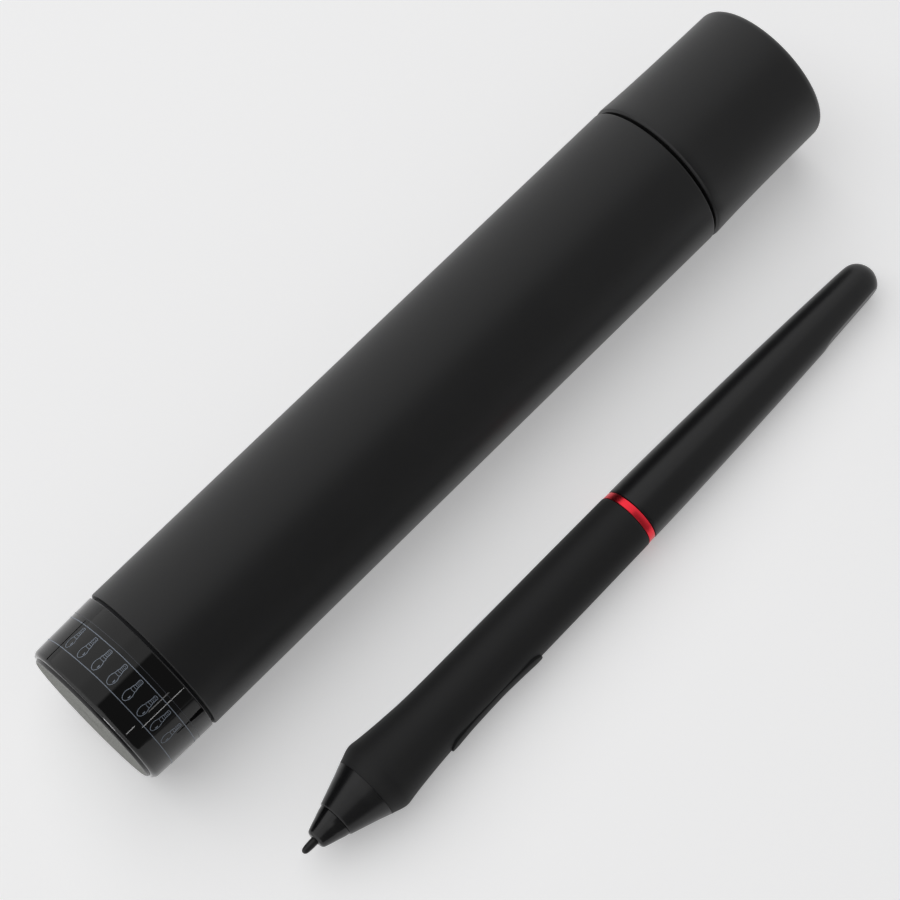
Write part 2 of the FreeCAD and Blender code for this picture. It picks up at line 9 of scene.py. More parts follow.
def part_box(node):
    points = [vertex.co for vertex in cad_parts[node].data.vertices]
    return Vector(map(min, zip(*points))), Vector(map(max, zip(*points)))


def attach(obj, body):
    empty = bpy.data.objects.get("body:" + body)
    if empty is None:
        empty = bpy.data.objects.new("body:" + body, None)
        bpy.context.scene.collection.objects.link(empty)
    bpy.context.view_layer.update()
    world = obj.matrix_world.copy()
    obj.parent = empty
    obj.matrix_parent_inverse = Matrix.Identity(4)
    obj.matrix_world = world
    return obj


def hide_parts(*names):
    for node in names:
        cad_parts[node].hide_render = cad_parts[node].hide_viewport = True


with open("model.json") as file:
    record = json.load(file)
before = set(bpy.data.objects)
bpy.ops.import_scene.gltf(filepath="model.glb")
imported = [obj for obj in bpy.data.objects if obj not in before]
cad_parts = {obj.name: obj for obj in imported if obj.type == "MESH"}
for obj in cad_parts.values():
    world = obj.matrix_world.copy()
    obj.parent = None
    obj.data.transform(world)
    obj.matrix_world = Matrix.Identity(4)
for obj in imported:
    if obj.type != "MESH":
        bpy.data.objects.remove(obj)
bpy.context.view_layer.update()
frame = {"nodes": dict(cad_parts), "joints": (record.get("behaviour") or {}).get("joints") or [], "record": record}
nodes, record = frame["nodes"], frame["record"]
joints = {j["name"]: j for j in frame["joints"]}
MM = 0.001

# ------------------------------------------------------------------ places
# The case's axis comes from the tube's box, the pen's axes from the joints.
tube_lo, tube_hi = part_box("case_tube")
CASE_Y = (tube_lo.y + tube_hi.y) / 2 / MM
CASE_Z = (tube_lo.z + tube_hi.z) / 2 / MM
CASE_X = tube_lo.x / MM - 0.2
ex = np.array(joints["nib_press"]["axis"], float)
ez = np.array(joints["rocker_tilt"]["axis"], float)
ex, ez = ex / np.linalg.norm(ex), ez / np.linalg.norm(ez)
ey = np.cross(ez, ex)
PIVOT_S, PIVOT_Y = 46.2, -4.3
pen_tip = np.array(joints["rocker_tilt"]["pos_m"], float) / MM - PIVOT_S * ex - PIVOT_Y * ey


def in_case(p):
    """Case coordinates (along the axis from the lower joint, towards +Y, up) to the row frame, in metres."""
    return np.column_stack([p[:, 0] + CASE_X, p[:, 1] + CASE_Y, p[:, 2] + CASE_Z]) * MM


def in_pen(p):
    """Pen coordinates (from the nib's point, sideways, up) to the row frame, in metres."""
    return (pen_tip + p[:, :1] * ex + p[:, 1:2] * ey + p[:, 2:3] * ez) * MM


# ------------------------------------------------------------- mesh helpers
def curve(points, step=0.5):
    """A smooth curve through (x, r) points, sampled about every step mm along it."""
    p = np.array(points, float)
    t = np.concatenate([[0], np.cumsum(np.hypot(*np.diff(p, axis=0).T))])
    n = len(p)
    out = []
    h = np.diff(t)
    for k in range(2):
        y = p[:, k]
        a = np.zeros((n, n))
        b = np.zeros(n)
        a[0, 0], a[0, 1], a[-1, -1], a[-1, -2] = 2 * h[0], h[0], 2 * h[-1], h[-1]
        # clamped to the end chords, so that the ends keep their direction
        b[0] = 3 * ((y[1] - y[0]) / h[0]) - 3 * ((y[1] - y[0]) / h[0])
        b[-1] = 0.0
        for i in range(1, n - 1):
            a[i, i - 1], a[i, i], a[i, i + 1] = h[i - 1], 2 * (h[i - 1] + h[i]), h[i]
            b[i] = 3 * ((y[i + 1] - y[i]) / h[i] - (y[i] - y[i - 1]) / h[i - 1])
        c = np.linalg.solve(a, b)
        m = max(2, int(round(t[-1] / step)) + 1)
        grid = np.unique(np.concatenate([np.linspace(0, t[-1], m), t]))
        keep = [grid[0]]
        for g in grid[1:]:
            if g - keep[-1] > step * 0.2:
                keep.append(g)
        keep[-1] = t[-1]
        grid = np.array(keep)
        i = np.clip(np.searchsorted(t, grid, side="right") - 1, 0, n - 2)
        d = grid - t[i]
        bb = (y[i + 1] - y[i]) / h[i] - h[i] * (2 * c[i] + c[i + 1]) / 3
        dd = (c[i + 1] - c[i]) / (3 * h[i])
        out.append(y[i] + bb * d + c[i] * d**2 + dd * d**3)
    return [tuple(v) for v in np.array(out).T]


def fillets(points, radii, steps=6, closed=True):
    """Rounds corners of a polyline; radii maps an index to a radius."""
    out, n = [], len(points)
    for i, b in enumerate(points):
        rad = radii.get(i)
        if not rad:
            out.append(tuple(b))
            continue
        b = np.array(b, float)
        u = np.array(points[(i - 1) % n], float) - b
        v = np.array(points[(i + 1) % n], float) - b
        u, v = u / np.linalg.norm(u), v / np.linalg.norm(v)
        half = math.acos(max(-1, min(1, float(u @ v)))) / 2
        t = rad / math.tan(half)
        w = (u + v) / np.linalg.norm(u + v)
        centre = b + w * rad / math.sin(half)
        s, e = b + u * t - centre, b + v * t - centre
        total = math.acos(max(-1, min(1, float(s @ e) / rad**2)))
        for k in range(steps + 1):
            f = k / steps
            q = (math.sin((1 - f) * total) * s + math.sin(f * total) * e) / math.sin(total)
            out.append(tuple(centre + q))
    return out


def arc_points(a, m, b, steps):
    """Points along the circle through three profile points."""
    (ax, ay), (bx, by), (cx, cy) = a, m, b
    d = 2 * (ax * (by - cy) + bx * (cy - ay) + cx * (ay - by))
    ux = ((ax**2 + ay**2) * (by - cy) + (bx**2 + by**2) * (cy - ay) + (cx**2 + cy**2) * (ay - by)) / d
    uy = ((ax**2 + ay**2) * (cx - bx) + (bx**2 + by**2) * (ax - cx) + (cx**2 + cy**2) * (bx - ax)) / d
    rad = math.hypot(ax - ux, ay - uy)
    t0, t1 = math.atan2(ay - uy, ax - ux), math.atan2(cy - uy, cx - ux)
    if t0 - t1 > math.pi:
        t1 += 2 * math.pi
    if t1 - t0 > math.pi:
        t0 += 2 * math.pi
    return [(ux + rad * math.cos(t), uy + rad * math.sin(t)) for t in np.linspace(t0, t1, steps + 1)]


def new_object(name, verts, faces, sharp_deg=32.0):
    me = bpy.data.meshes.new(name)
    me.from_pydata([tuple(v) for v in verts], [], [tuple(int(i) for i in f) for f in faces])
    bm = bmesh.new()
    bm.from_mesh(me)
    bmesh.ops.remove_doubles(bm, verts=bm.verts, dist=1e-8)
    bmesh.ops.dissolve_degenerate(bm, edges=bm.edges, dist=1e-9)
    bmesh.ops.recalc_face_normals(bm, faces=bm.faces)
    bm.to_mesh(me)
    bm.free()
    me.polygons.foreach_set("use_smooth", [True] * len(me.polygons))
    me.set_sharp_from_angle(angle=math.radians(sharp_deg))
    ob = bpy.data.objects.new(name, me)
    bpy.context.scene.collection.objects.link(ob)
    return ob


def lathe(name, profile, place, segs=160, warp=None, closed=True, sharp_deg=32.0):
    """Turns a profile of (x, r) points in mm. A closed profile makes a hollow ring; an open one starts and ends on the axis."""
    verts, rings = [], []
    ang = np.arange(segs) * 2 * math.pi / segs
    cs, sn = np.cos(ang), np.sin(ang)
    for x, r in profile:
        if r < 1e-6:
            rings.append([len(verts)] * segs)
            verts.append((x, 0, 0))
        else:
            rings.append(list(range(len(verts), len(verts) + segs)))
            verts += [(x, r * c, r * s) for c, s in zip(cs, sn)]
    faces = []
    pairs = list(zip(range(len(profile) - 1), range(1, len(profile))))
    if closed:
        pairs.append((len(profile) - 1, 0))
    for a, b in pairs:
        for k in range(segs):
            l = (k + 1) % segs
            f = [rings[a][k], rings[b][k], rings[b][l], rings[a][l]]
            f = [v for i, v in enumerate(f) if v not in f[:i]]
            if len(f) > 2:
                faces.append(f)
    p = np.array(verts, float)
    if warp is not None:
        p = warp(p)
    return new_object(name, place(p), faces, sharp_deg)


# ---------------------------------------------------------- node materials
def material(name):
    m = bpy.data.materials.new(name)
    m.use_nodes = True
    nt = m.node_tree
    for n in list(nt.nodes):
        nt.nodes.remove(n)
    out = nt.nodes.new("ShaderNodeOutputMaterial")
    bsdf = nt.nodes.new("ShaderNodeBsdfPrincipled")
    nt.links.new(bsdf.outputs[0], out.inputs[0])
    return m, nt, bsdf


def coords(nt):
    return nt.nodes.new("ShaderNodeTexCoord").outputs["Object"]


def noise(nt, vec, scale, detail=3.0, rough=0.55, stretch=None):
    n = nt.nodes.new("ShaderNodeTexNoise")
    n.inputs["Scale"].default_value = scale
    n.inputs["Detail"].default_value = detail
    n.inputs["Roughness"].default_value = rough
    if stretch is not None:
        mp = nt.nodes.new("ShaderNodeMapping")
        mp.inputs["Scale"].default_value = stretch
        nt.links.new(vec, mp.inputs["Vector"])
        vec = mp.outputs[0]
    nt.links.new(vec, n.inputs["Vector"])
    return n.outputs["Fac"]


def ramp(nt, value, a, b, lo=0.0, hi=1.0, smooth=True):
    r = nt.nodes.new("ShaderNodeMapRange")
    r.interpolation_type = "SMOOTHSTEP" if smooth else "LINEAR"
    r.inputs["From Min"].default_value = a
    r.inputs["From Max"].default_value = b
    r.inputs["To Min"].default_value = lo
    r.inputs["To Max"].default_value = hi
    nt.links.new(value, r.inputs["Value"])
    return r.outputs["Result"]


def mix(nt, fac, a, b):
    n = nt.nodes.new("ShaderNodeMix")
    n.data_type = "RGBA"
    for key, v in ((0, fac), (6, a), (7, b)):
        if isinstance(v, (tuple, list)):
            n.inputs[key].default_value = tuple(v) if len(v) == 4 else tuple(v) + (1,)
        elif isinstance(v, (int, float)):
            n.inputs[key].default_value = v
        else:
            nt.links.new(v, n.inputs[key])
    return n.outputs[2]


def calc(nt, op, a, b=None, c=None):
    n = nt.nodes.new("ShaderNodeMath")
    n.operation = op
    for i, v in enumerate((a, b, c)):
        if v is None:
            continue
        if isinstance(v, (int, float)):
            n.inputs[i].default_value = v
        else:
            nt.links.new(v, n.inputs[i])
    return n.outputs[0]


def bump(nt, bsdf, height, distance, strength=1.0, after=None):
    n = nt.nodes.new("ShaderNodeBump")
    n.inputs["Strength"].default_value = strength
    n.inputs["Distance"].default_value = distance
    nt.links.new(height, n.inputs["Height"])
    if after is not None:
        nt.links.new(after, n.inputs["Normal"])
    nt.links.new(n.outputs[0], bsdf.inputs["Normal"])
    return n.outputs[0]


def specks(nt, vec, cells, size, share):
    """A mask of sparse small specks: one candidate a cell, of which only a share is kept."""
    v = nt.nodes.new("ShaderNodeTexVoronoi")
    v.inputs["Scale"].default_value = cells
    nt.links.new(vec, v.inputs["Vector"])
    near = ramp(nt, v.outputs["Distance"], size, size * 0.35)
    sep = nt.nodes.new("ShaderNodeSeparateColor")
    nt.links.new(v.outputs["Color"], sep.inputs[0])
    pick = calc(nt, "LESS_THAN", sep.outputs[0], share)
    return calc(nt, "MULTIPLY", near, pick)


def plastic(name, base, rough, grain=9000.0, grain_h=6e-6, spec=0.5, vary=0.25, dust=0.0, smudge=0.06, sheen=0.0, coat=0.0):
    m, nt, b = material(name)
    vec = coords(nt)
    broad = noise(nt, vec, 70.0, 4.0, 0.6)
    fine = noise(nt, vec, grain, 2.0, 0.6)
    mid = noise(nt, vec, grain / 9.0, 3.0, 0.6)
    dark = tuple(c * (1 - vary) for c in base)
    lite = tuple(c * (1 + vary) for c in base)
    col = mix(nt, calc(nt, "MULTIPLY_ADD", fine, 0.5, calc(nt, "MULTIPLY", broad, 0.5)), dark, lite)
    if dust > 0:
        mask = calc(nt, "MULTIPLY", specks(nt, vec, 130.0, 0.018, dust), 0.55)
        lint = calc(nt, "MULTIPLY", specks(nt, vec, 420.0, 0.05, dust * 0.25), 0.28)
        col = mix(nt, calc(nt, "MAXIMUM", mask, lint), col, (0.42, 0.42, 0.44))
    nt.links.new(col, b.inputs["Base Color"])
    r = calc(nt, "MULTIPLY_ADD", calc(nt, "SUBTRACT", broad, 0.5), smudge * 2, rough)
    r = calc(nt, "MULTIPLY_ADD", calc(nt, "SUBTRACT", fine, 0.5), 0.08, r)
    nt.links.new(r, b.inputs["Roughness"])
    b.inputs["Specular IOR Level"].default_value = spec
    if sheen:
        b.inputs["Sheen Weight"].default_value = sheen
        b.inputs["Sheen Roughness"].default_value = 0.5
    if coat:
        b.inputs["Coat Weight"].default_value = coat
        b.inputs["Coat Roughness"].default_value = 0.08
    h = calc(nt, "MULTIPLY_ADD", mid, 0.6, fine)
    bump(nt, b, h, grain_h)
    return m


def metal(name, base, rough, brush=(1.0, 1.0, 1.0), anis=0.0):
    m, nt, b = material(name)
    vec = coords(nt)
    streak = noise(nt, vec, 2200.0, 3.0, 0.6, brush)
    broad = noise(nt, vec, 160.0, 3.0, 0.5)
    col = mix(nt, streak, tuple(c * 0.88 for c in base), tuple(min(1, c * 1.1) for c in base))
    nt.links.new(col, b.inputs["Base Color"])
    b.inputs["Metallic"].default_value = 1.0
    r = calc(nt, "MULTIPLY_ADD", streak, 0.12, rough)
    r = calc(nt, "MULTIPLY_ADD", broad, 0.06, r)
    nt.links.new(r, b.inputs["Roughness"])
    b.inputs["Anisotropic"].default_value = anis
    bump(nt, b, streak, 2e-6)
    return m


soft_touch = plastic("soft_touch_black", (0.0048, 0.0048, 0.0052), 0.42, grain=7000, grain_h=5e-6, spec=0.36, dust=0.035, smudge=0.05, sheen=0.03)
rear_satin = plastic("rear_satin_black", (0.0065, 0.0065, 0.007), 0.33, grain=9000, grain_h=3.5e-6, spec=0.34, dust=0.01, smudge=0.04)
cone_satin = plastic("cone_satin_black", (0.0055, 0.0055, 0.006), 0.25, grain=9000, grain_h=3e-6, spec=0.34, smudge=0.04)
nose_gloss = plastic("nose_gloss_black", (0.0035, 0.0035, 0.004), 0.18, grain=6000, grain_h=1.5e-6, spec=0.42, smudge=0.05)
grip_rubber = plastic("grip_rubber_black", (0.0140, 0.0140, 0.0144), 0.56, grain=5200, grain_h=1.1e-5, spec=0.20, dust=0.015, smudge=0.05)
rocker_satin = plastic("rocker_satin_black", (0.007, 0.007, 0.0073), 0.54, grain=6000, grain_h=6e-6, spec=0.12)
nib_mat = plastic("nib_black", (0.009, 0.009, 0.009), 0.42, grain=9000, grain_h=3e-6, spec=0.35)
liner_mat = plastic("liner_black", (0.010, 0.010, 0.010), 0.55, grain=6000, grain_h=6e-6, spec=0.35)
rack_mat = plastic("rack_black", (0.012, 0.012, 0.0135), 0.5, grain=1500, grain_h=4e-7, spec=0.12, vary=0.1, smudge=0.03)
oring_mat = plastic("o_ring_black", (0.008, 0.008, 0.008), 0.45, grain=6000, grain_h=3e-6, spec=0.35)
foam_mat = plastic("foam_grey", (0.10, 0.10, 0.105), 0.95, grain=1900, grain_h=1.2e-4, spec=0.1, vary=0.45)
core_mat = plastic("core_plastic", (0.035, 0.035, 0.037), 0.5, grain=5000, grain_h=5e-6)
ferrite_mat = plastic("ferrite_grey", (0.06, 0.056, 0.056), 0.6, grain=2600, grain_h=2e-5, vary=0.4)
bobbin_mat = plastic("bobbin_plastic", (0.62, 0.60, 0.53), 0.45, grain=5000, grain_h=4e-6, vary=0.06)
sensor_mat = plastic("sensor_plastic", (0.09, 0.09, 0.095), 0.4, grain=5000, grain_h=4e-6)
chip_mat = plastic("chip_black", (0.03, 0.03, 0.031), 0.5, grain=5000, grain_h=5e-6)
steel_mat = metal("steel", (0.56, 0.56, 0.58), 0.22, (1, 1, 12))
copper_mat = metal("copper_wire", (0.75, 0.30, 0.13), 0.26, (14, 1, 1))
red_mat = metal("red_anodised", (0.86, 0.035, 0.055), 0.20, (12, 1, 1))


def board_material():
    m, nt, b = material("board_green")
    vec = coords(nt)
    v = nt.nodes.new("ShaderNodeTexVoronoi")
    v.feature = "DISTANCE_TO_EDGE"
    v.inputs["Scale"].default_value = 600.0
    nt.links.new(vec, v.inputs["Vector"])
    trace = ramp(nt, v.outputs["Distance"], 0.03, 0.06)
    col = mix(nt, trace, (0.05, 0.22, 0.09), (0.02, 0.11, 0.045))
    nt.links.new(col, b.inputs["Base Color"])
    b.inputs["Roughness"].default_value = 0.32
    bump(nt, b, trace, 1.2e-5)
    return m


board_mat = board_material()


def disc_material():
    """Grey moulded base with a fine random texture."""
    m, nt, b = material("disc_grey")
    vec = coords(nt)
    fine = noise(nt, vec, 3800.0, 2.0, 0.7)
    speck = noise(nt, vec, 1500.0, 3.0, 0.6)
    col = mix(nt, ramp(nt, fine, 0.35, 0.68), (0.125, 0.128, 0.116), (0.31, 0.316, 0.289))
    nt.links.new(col, b.inputs["Base Color"])
    nt.links.new(calc(nt, "MULTIPLY_ADD", fine, 0.25, 0.5), b.inputs["Roughness"])
    b.inputs["Specular IOR Level"].default_value = 0.4
    bump(nt, b, calc(nt, "MULTIPLY_ADD", speck, 0.7, fine), 4e-5)
    return m


disc_mat = disc_material()
# painted shade: a black gloss for the disc's side wall and rounded edge
disc_edge_shade_mat = plastic("disc_edge_painted_shade", (0.006, 0.006, 0.0065), 0.25, grain=6000, grain_h=1e-6, spec=0.4, smudge=0.04)


def window_material():
    """Smoke-tinted clear plastic, polished, with a few hairline scratches."""
    m, nt, b = material("smoke_clear")
    vec = coords(nt)
    broad = noise(nt, vec, 90.0, 3.0, 0.5)
    scratch = noise(nt, vec, 900.0, 2.0, 0.5, (0.08, 1.6, 1.6))
    nt.links.new(mix(nt, broad, (0.0012, 0.0012, 0.0014), (0.0021, 0.0021, 0.0024)), b.inputs["Base Color"])
    b.inputs["Transmission Weight"].default_value = 1.0
    b.inputs["IOR"].default_value = 1.42
    nt.links.new(calc(nt, "MULTIPLY_ADD", ramp(nt, scratch, 0.66, 0.8), 0.03, 0.012), b.inputs["Roughness"])
    bump(nt, b, broad, 7e-7)
    return m


window_mat = window_material()


def print_material():
    m, nt, b = material("print_pale")
    vec = coords(nt)
    fade = noise(nt, vec, 1600.0, 2.0, 0.5)
    nt.links.new(mix(nt, fade, (0.17, 0.20, 0.25), (0.25, 0.285, 0.34)), b.inputs["Base Color"])
    nt.links.new(calc(nt, "MULTIPLY_ADD", fade, 0.2, 0.35), b.inputs["Roughness"])
    return m


print_mat = print_material()
# a dim print colour for a painted reflection of a frame line
print_reflection_mat = plastic("print_painted_reflection", (0.03, 0.033, 0.042), 0.4, grain=2000, grain_h=1e-6)
dark_line_mat = plastic("print_dark", (0.004, 0.004, 0.004), 0.8, grain=2000, grain_h=1e-6, spec=0.0)



def painted_glint_material(name, level, painted_spark):
    """Painted highlight for a thin edge: paler on the flanks than on top, with one bright painted spark."""
    m, nt, b = material(name)
    vec = coords(nt)
    sep = nt.nodes.new("ShaderNodeSeparateXYZ")
    nt.links.new(vec, sep.inputs[0])
    # painted highlight: paler away from the top, broken up by a noise
    off = calc(nt, "ABSOLUTE", calc(nt, "SUBTRACT", sep.outputs[1], (CASE_Y - 1.0) * MM))
    flank = ramp(nt, off, 0.002, 0.013)
    glint_break = noise(nt, vec, 700.0, 3.0, 0.6)
    tone = calc(nt, "MULTIPLY", calc(nt, "MULTIPLY_ADD", flank, 0.8, 0.2), calc(nt, "MULTIPLY_ADD", glint_break, 0.5, 0.75))
    # painted spark: one small very bright spot on the top of the edge
    if painted_spark:
        near = ramp(nt, calc(nt, "ABSOLUTE", calc(nt, "SUBTRACT", sep.outputs[1], (CASE_Y - 6.7) * MM)), 0.0017, 0.0009)
        top = calc(nt, "GREATER_THAN", sep.outputs[2], CASE_Z * MM)
        tone = calc(nt, "MULTIPLY_ADD", calc(nt, "MULTIPLY", near, top), 3.5, tone)
    nt.links.new(mix(nt, calc(nt, "MULTIPLY", tone, level), (0.004, 0.004, 0.0045), (0.92, 0.92, 0.94)), b.inputs["Base Color"])
    b.inputs["Roughness"].default_value = 0.3
    b.inputs["Specular IOR Level"].default_value = 0.3
    return m


# colours for hoops that carry painted highlights along the ring's edges
painted_glint_mat = painted_glint_material("edge_painted_glint", 0.40, True)
painted_glint_dim_mat = painted_glint_material("edge_painted_glint_dim", 0.11, False)

cad_material = {
    "case_tube": soft_touch, "tube_liner": liner_mat, "neck_collar": liner_mat, "neck_o_ring": oring_mat,
    "cap_shell": soft_touch, "cap_liner": liner_mat, "cap_pad": foam_mat,
    "window_ring": window_mat, "base_disc": disc_mat, "nib_rack": rack_mat, "store_o_ring": oring_mat, "nib_puller": steel_mat,
    "pen_nib": nib_mat, "nose_tip": nose_gloss, "nose_cone": cone_satin, "rubber_grip": grip_rubber, "barrel_core": core_mat,
    "red_ring": red_mat, "rear_barrel": rear_satin, "side_rocker": rocker_satin, "rocker_pin": steel_mat, "nib_plunger": core_mat,
    "ferrite_core": ferrite_mat, "coil_bobbin": bobbin_mat, "coil_winding": copper_mat, "return_spring": steel_mat,
    "pressure_sensor": sensor_mat, "board_carrier": core_mat, "circuit_board": board_mat, "switch_front": sensor_mat,
    "switch_rear": sensor_mat, "board_components": chip_mat, "coil_leads": copper_mat,
}
for n, ob in nodes.items():
    mat = cad_material.get(n, nib_mat if n.startswith("spare_nib") else core_mat)
    ob.data.materials.clear()
    ob.data.materials.append(mat)
    ob.data.polygons.foreach_set("use_smooth", [True] * len(ob.data.polygons))
    ob.data.set_sharp_from_angle(angle=math.radians(30))


def dress(ob, mat, body, node=None):
    ob.data.materials.clear()
    ob.data.materials.append(mat)
    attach(ob, body)
    if node:
        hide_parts(*([node] if isinstance(node, str) else node))
    return ob


# -------------------------------------------------------------------- case
R = 16.88
prof = fillets([(0.2, 15.88), (0.2, R), (139.5, R), (139.5, 15.88)], {0: 0.12, 1: 0.3, 2: 0.3, 3: 0.12}, 5)
# extra rings along the tube keep the long quads short
outer = [p for p in prof if p[1] > R - 1e-6]
left, right = max(p[0] for p in outer if p[0] < 70), min(p[0] for p in outer if p[0] > 70)
full = []
for p in prof:
    full.append(p)
    if abs(p[0] - left) < 1e-9 and abs(p[1] - R) < 1e-6:
        full += [(x, R) for x in [left + 0.12, 1.4] + list(np.arange(4.0, 137.0, 4.0)) + [138.4, right - 0.12]]
case_tube = lathe("case_tube_skin", full, in_case, 192)
dress(case_tube, soft_touch, "case", "case_tube")

cap_out = curve([(141.15, 16.98), (142.4, 16.93), (143.6, 16.87), (145.0, 16.80), (149.0, 16.68), (153.0, 16.58), (157.0, 16.52),
                 (161.0, 16.47), (165.0, 16.43), (171.0, 16.38)], 2.0)
k = 1.7
end_arc = [(172.7 - k + k * math.sin(a), 16.38 - k + k * math.cos(a)) for a in np.linspace(0.12, math.pi / 2, 9)]
mouth = fillets([(140.3, 15.4), (140.3, 16.45), (140.75, 16.92), (141.15, 16.98)], {1: 0.1, 2: 0.12}, 4)
prof = [(171.4, 0.0), (171.4, 5.0), (171.4, 10.0), (171.4, 14.8), (170.8, 15.4), (160.0, 15.4), (150.0, 15.4)] + mouth[:-1] + cap_out + end_arc + [(172.7, 12.0), (172.7, 8.0), (172.7, 4.0), (172.7, 0.0)]
cap = lathe("cap_shell_skin", prof, in_case, 192, closed=False)
dress(cap, soft_touch, "cap", "cap_shell")

# --------------------------------------------------------------- nib store
RING_END, RING_ROUND = -0.42, 1.1
RING_LINE = [(-15.4, 16.42), (-12.0, 16.52), (-7.0, 16.61), (RING_END, 16.74)]


def ring_r(x):
    """Outer radius of the clear ring at station x."""
    return np.interp(x, [p[0] for p in RING_LINE], [p[1] for p in RING_LINE])


corner = fillets([(-15.4, 15.23), RING_LINE[0], RING_LINE[1], RING_LINE[3], (RING_END, 15.0), (-14.38, 15.0), (-14.38, 15.23)],
                 {0: 0.12, 1: RING_ROUND, 3: 0.3, 4: 0.12}, 9)
corner.remove(RING_LINE[1])
# plain bands next to the rounded corners keep the wall's shading true
ring = []
for a, b in zip(corner, corner[1:] + corner[:1]):
    ring.append(a)
    if b[0] - a[0] > 10:
        xs = [a[0] + 0.08, a[0] + 0.5, -13.1, -12.06, -11.94, -10.7, -9.4, -8.2, -7.06, -6.94, -5.6, -4.2, -2.8, -1.6, b[0] - 0.3, b[0] - 0.06]
        ring += [(x, float(ring_r(x))) for x in xs]
ring_ob = lathe("window_ring_clear", ring, in_case, 192)
dress(ring_ob, window_mat, "nib_store", "window_ring")


# The base disc is turned, then its face carries a low moulded texture.
rng = np.random.RandomState(7)
face = [(-16.0, float(r)) for r in np.linspace(0.3, 14.6, 34)]
prof = [(-16.0, 0.0)] + face + fillets([(-16.0, 14.66), (-16.0, 15.18), (-14.44, 15.18)], {1: 0.45}, 6)[1:] + [(-14.44, 8.0), (-14.44, 0.0)]


def disc_grain(p):
    r = np.hypot(p[:, 1], p[:, 2])
    on = (p[:, 0] < -15.99) & (r > 0.2) & (r < 14.62)
    p = p.copy()
    p[on, 0] += rng.uniform(0.0, 0.05, on.sum())
    return p


disc = lathe("base_disc_grained", prof, in_case, 160, warp=disc_grain, closed=False)
dress(disc, disc_mat, "nib_store", "base_disc")
# painted shade: the disc's rounded edge and side wall take the black material, its face keeps the grey
disc.data.materials.append(disc_edge_shade_mat)
for poly in disc.data.polygons:
    c = poly.center
    if math.hypot(c.y / MM - CASE_Y, c.z / MM - CASE_Z) > 14.75 or c.x / MM - CASE_X > -15.8:
        poly.material_index = 1


# ---- printed frame lines and nib pictograms on the ring's outside
def on_ring(x, phi, lift):
    """phi is measured from straight up towards the pen's side (-Y), in radians."""
    r = ring_r(x) + lift
    # the print runs slightly aslant on the far side, and comes back round the bottom
    turn = np.degrees((phi + math.pi) % (2 * math.pi) - math.pi)
    slant = np.interp(turn, [-179.0, -120.0, -60.0, -46.0, -33.0, -18.0, -2.0], [0.0, 0.0, -0.52, -0.38, -0.28, -0.16, 0.0])
    return np.column_stack([x + slant, -r * np.sin(phi), r * np.cos(phi)])


def ribbon(points, width, close=False, low=0.004, high=0.020):
    """A flat raised line following (x, u) points, where u is the distance round the ring in mm."""
    p = np.array(points, float)
    if close:
        p = np.vstack([p, p[:1]])
    # resample so that it bends with the ring
    d = np.hypot(*np.diff(p, axis=0).T)
    out = [p[0]]
    for a, b, l in zip(p[:-1], p[1:], d):
        n = max(1, int(math.ceil(l / 0.4)))
        out += [a + (b - a) * (i + 1) / n for i in range(n)]
    p = np.array(out)
    if close:
        p = p[:-1]
        t = np.roll(p, -1, 0) - np.roll(p, 1, 0)
    else:
        t = np.gradient(p, axis=0)
    t /= np.linalg.norm(t, axis=1)[:, None] + 1e-12
    nrm = np.column_stack([-t[:, 1], t[:, 0]])
    l, r = p + nrm * width / 2, p - nrm * width / 2
    rr = 16.70
    n = len(p)
    v = np.vstack([on_ring(q[:, 0], q[:, 1] / rr, h) for q in (l, r) for h in (high, low)])
    # 0..n left high, n.. left low, 2n.. right high, 3n.. right low
    f = []
    m = n if close else n - 1
    for i in range(m):
        j = (i + 1) % n
        f += [(i, j, 2 * n + j, 2 * n + i), (n + i, 3 * n + i, 3 * n + j, n + j), (i, n + i, n + j, j), (2 * n + i, 2 * n + j, 3 * n + j, 3 * n + i)]
    if not close:
        f += [(0, 2 * n, 3 * n, n), (n - 1, 2 * n - 1, 4 * n - 1, 3 * n - 1)]
    return v, f


def joined(name, parts, mat, body):
    verts, faces, base = [], [], 0
    for v, f in parts:
        verts.append(v)
        faces += [tuple(i + base for i in q) for q in f]
        base += len(v)
    ob = new_object(name, in_case(np.vstack(verts)), faces, 40)
    return dress(ob, mat, body, None)


def pictogram(phi0):
    """A spare nib drawn in outline, head towards the base: a leaf-shaped head, a waist and a stem with rungs."""
    rr = 16.70
    u0 = phi0 * rr
    w = 0.125
    out = []

    def line(pts, close=False, width=w):
        out.append(ribbon([(x, u0 + u) for x, u in pts], width, close))

    # one side of the outline, from the head's round end to the collar, the waist and the stem's end
    side = curve([(-10.46, 0.0), (-10.38, 0.26), (-10.12, 0.50), (-9.70, 0.70), (-9.20, 0.80), (-8.72, 0.77), (-8.32, 0.66), (-7.97, 0.53)], 0.14)
    half = side + [(-7.66, 0.55), (-7.34, 0.50), (-6.96, 0.40), (-6.80, 0.38), (-5.78, 0.40), (-5.64, 0.34), (-5.58, 0.18)]
    other = [(x, -u) for x, u in half[::-1]]
    line(half + other, True)
    line([(-7.97, 0.55), (-8.05, 0.0), (-7.97, -0.55)], width=0.10)
    line([(-7.34, 0.48), (-7.40, 0.0), (-7.34, -0.48)], width=0.09)
    line([(-6.93, 0.35), (-6.93, -0.35)], width=0.09)
    line([(-6.60, 0.34), (-6.60, -0.34)], width=0.07)
    line([(-6.32, 0.18), (-5.95, 0.19), (-5.86, 0.0), (-5.95, -0.19), (-6.32, -0.18)], True, width=0.07)
    # the glint drawn inside the head
    line([(-9.60, 0.44), (-9.32, 0.50), (-8.98, 0.45)], width=0.20)
    return out


